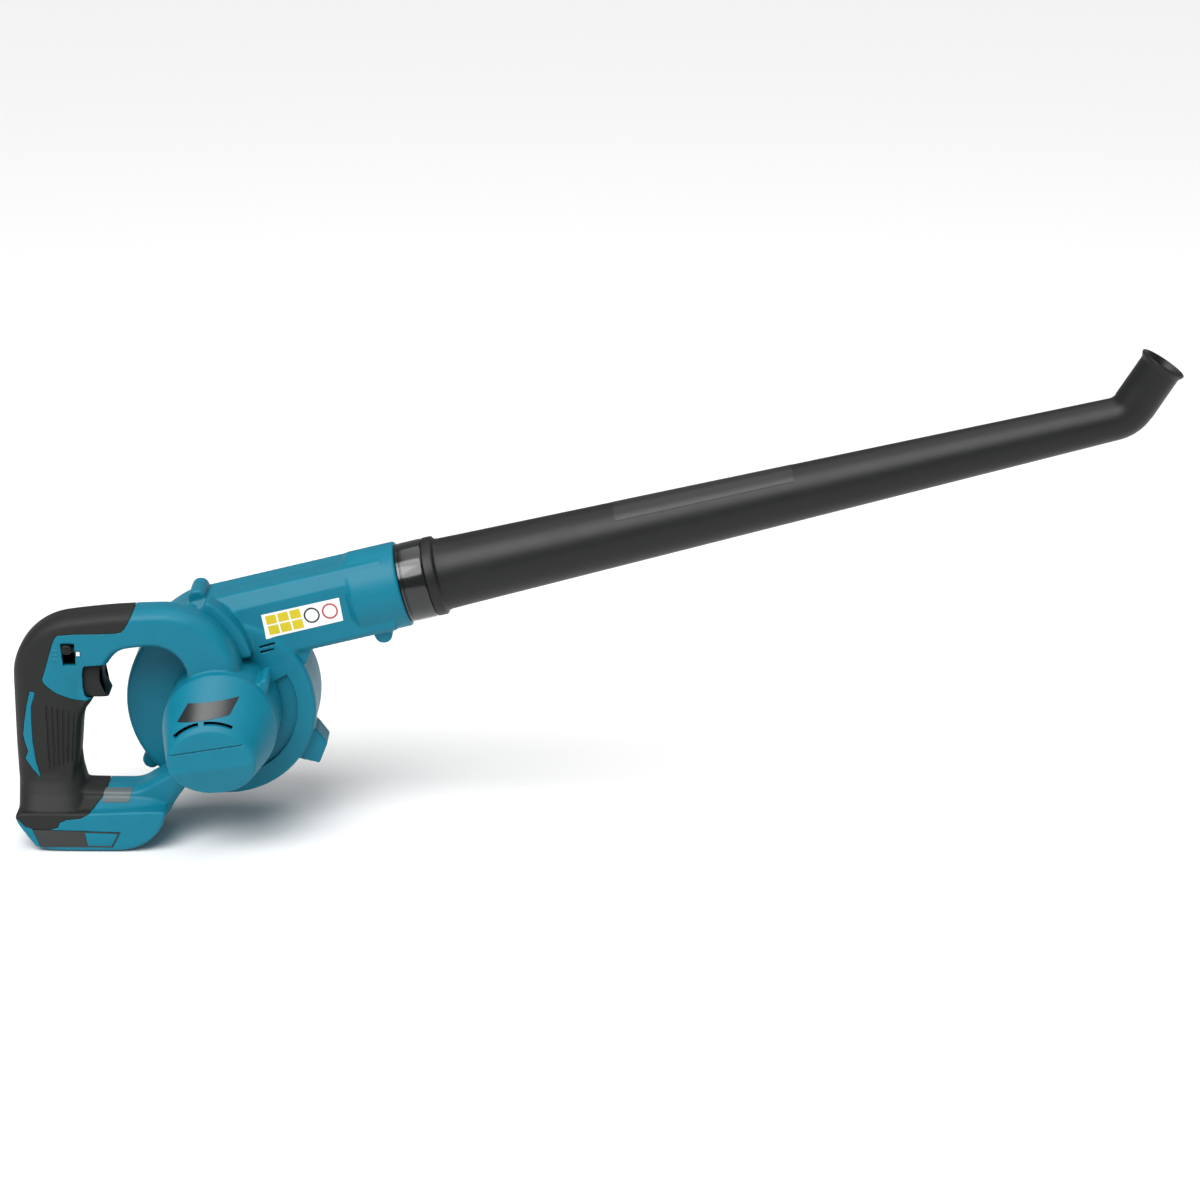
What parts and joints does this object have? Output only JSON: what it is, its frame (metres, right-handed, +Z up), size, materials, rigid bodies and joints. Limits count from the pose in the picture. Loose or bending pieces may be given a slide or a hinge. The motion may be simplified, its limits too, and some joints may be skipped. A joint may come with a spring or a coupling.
{
  "type": "leaf blower",
  "caption": "Cordless handheld leaf blower, bare tool: D-shaped handle with trigger, motor drum, spiral fan case, twist-on straight tapered nozzle with an upturned flared tip.",
  "frame": {"origin": "middle of the battery foot's flat bottom, on the handle's centre plane", "axes": "+X towards the nozzle, +Y towards the air intake, +Z up from the foot"},
  "size_m": [0.8924, 0.154, 0.379],
  "materials": {
    "teal_plastic": "moulded, fine satin texture",
    "elastomer": "moulded rubber, matt",
    "black_plastic": "moulded, fine texture",
    "gloss_black": "polished mould",
    "steel": "zinc plated",
    "zinc_steel": "zinc plated sheet",
    "plated_brass": "plated strip",
    "copper": "bare copper and enamel",
    "ferrite": "sintered",
    "lead_insulation": "soft insulation, red and black",
    "label_dark": "printed film",
    "label_light": "printed film, pictograms left out",
    "label_grey": "printed film, left blank"
  },
  "bodies": {
    "root": {"housing_right": "teal_plastic", "housing_left": "teal_plastic", "grip_right": "elastomer", "grip_left": "elastomer", "foot_trim_right": "black_plastic", "foot_trim_left": "black_plastic", "terminal_block": "black_plastic", "terminal_blades": "plated_brass", "switch_body": "black_plastic", "trigger_spring": "steel", "lever_pin": "steel", "battery_leads": "lead_insulation", "motor_leads": "lead_insulation", "motor_can": "zinc_steel", "magnets": "ferrite", "end_bell": "black_plastic", "brushes": "ferrite", "front_bearing": "steel", "rear_bearing": "steel", "motor_screws": "steel", "fan_case_inner": "teal_plastic", "fan_case_outer": "teal_plastic", "intake_grille": "black_plastic", "grille_screws": "steel", "fan_case_screws": "steel", "housing_screws": "steel", "spec_label": "label_dark", "warning_label": "label_light", "sound_label": "label_grey"},
    "nozzle": {"nozzle_joint": "gloss_black", "nozzle_bell": "black_plastic", "nozzle_mid": "black_plastic", "nozzle_far": "black_plastic", "nozzle_tip": "black_plastic", "nozzle_label": "label_grey"},
    "trigger": {"trigger": "black_plastic", "trigger_plunger": "black_plastic"},
    "speed_lever": {"speed_lever": "black_plastic"},
    "fan": {"rotor_shaft": "steel", "armature_core": "zinc_steel", "armature_windings": "copper", "commutator": "copper", "impeller": "black_plastic", "impeller_nut": "steel"}
  },
  "joints": [
    {"name": "nozzle_twist", "type": "hinge", "parent": "root", "child": "nozzle", "pos_m": [0.23674, 0.053, 0.18981], "axis": [0.9707, 0, 0.2402], "range_deg": [0, 30]},
    {"name": "trigger_pull", "type": "slide", "parent": "root", "child": "trigger", "axis": [-1, 0, 0], "range_m": [0, 0.0065], "stiffness_N_per_m": 900, "springref_m": -0.002, "deforming": ["trigger_spring"]},
    {"name": "speed_swing", "type": "hinge", "parent": "root", "child": "speed_lever", "pos_m": [0.005, -0.012, 0.1565], "axis": [0, 1, 0], "range_deg": [-23, 0]},
    {"name": "fan_spin", "type": "hinge", "parent": "root", "child": "fan", "pos_m": [0.099, 0.03, 0.097], "axis": [0, 1, 0], "continuous": true}
  ]
}
